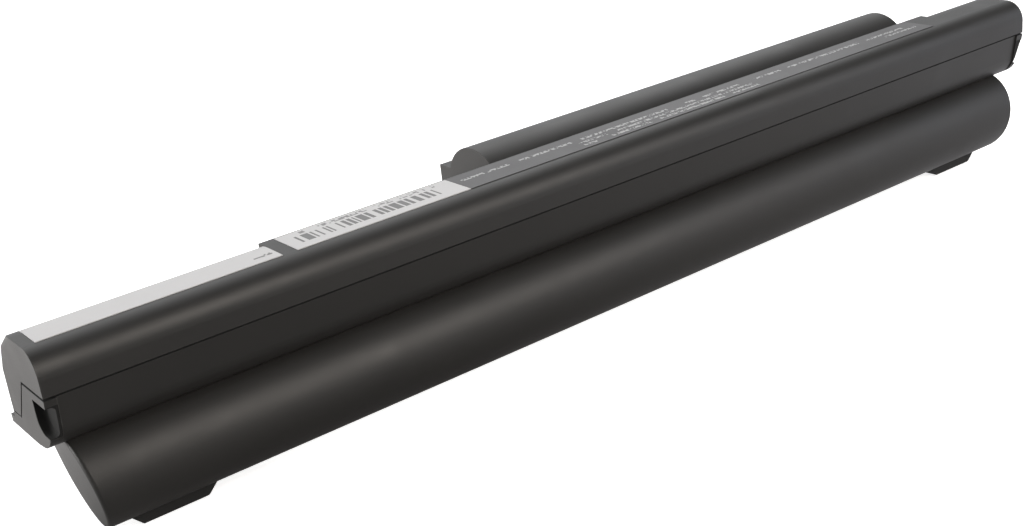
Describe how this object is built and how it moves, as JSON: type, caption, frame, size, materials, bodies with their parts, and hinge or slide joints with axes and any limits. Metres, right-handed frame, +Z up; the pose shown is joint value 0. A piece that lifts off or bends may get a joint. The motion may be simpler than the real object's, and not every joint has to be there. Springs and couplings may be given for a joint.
{
  "type": "laptop battery",
  "caption": "Long laptop battery pack: rounded front bar with a flat label deck, raised rear block, lower cell lobe on two feet, end guide notches and a rear blade connector.",
  "frame": {"origin": "centre of the bounding box at the underside of the feet", "axes": "+X along the pack towards the end by the raised block, +Y from the front to the connector side, +Z up"},
  "size_m": [0.2774, 0.0444, 0.0418],
  "materials": {
    "case_plastic": "fine matt texture",
    "foot_rubber": "matt",
    "white_label": "smooth satin film",
    "dark_label": "smooth satin film",
    "cell_wrap": "shrink film",
    "paper_ring": "plain paper",
    "nickel": "bright strip",
    "foam": "closed cell foam",
    "board_laminate": "solder mask",
    "chip_plastic": "moulded",
    "ceramic": "fired ceramic",
    "white_plastic": "moulded",
    "contact_metal": "plated",
    "black_lead": "smooth insulation",
    "red_lead": "smooth insulation",
    "blue_lead": "smooth insulation",
    "film": "insulating film"
  },
  "bodies": {
    "root": {"bar_cell_1": "cell_wrap", "bar_cell_2": "cell_wrap", "bar_cell_3": "cell_wrap", "bar_cell_4": "cell_wrap", "bar_cell_rings": "paper_ring", "bar_end_pads": "foam", "bar_label": "white_label", "bar_link_1": "nickel", "bar_link_2": "nickel", "bar_link_3": "nickel", "bar_link_4": "nickel", "bar_link_5": "nickel", "block_cell_1": "cell_wrap", "block_cell_2": "cell_wrap", "block_cell_rings": "paper_ring", "block_end_pads": "foam", "block_link_1": "nickel", "block_link_2": "nickel", "block_link_3": "nickel", "bottom_case": "case_plastic", "circuit_board": "board_laminate", "connector_body": "chip_plastic", "connector_contacts": "contact_metal", "end_label": "white_label", "gauge_chip": "chip_plastic", "insulator_sheet": "film", "left_foot": "foot_rubber", "long_label": "dark_label", "lower_cell_1": "cell_wrap", "lower_cell_2": "cell_wrap", "lower_cell_3": "cell_wrap", "lower_cell_rings": "paper_ring", "lower_end_pads": "foam", "lower_link_1": "nickel", "lower_link_2": "nickel", "lower_link_3": "nickel", "lower_link_4": "nickel", "lower_negative_lead": "black_lead", "lower_positive_lead": "red_lead", "middle_case": "case_plastic", "negative_lead": "black_lead", "positive_lead": "red_lead", "power_switches": "chip_plastic", "protection_chip": "chip_plastic", "right_foot": "foot_rubber", "sense_lead": "blue_lead", "sense_resistor": "ceramic", "small_capacitors": "ceramic", "thermal_fuse": "white_plastic", "thermistor": "chip_plastic", "thermistor_lead": "black_lead", "top_case": "case_plastic"}
  },
  "joints": []
}
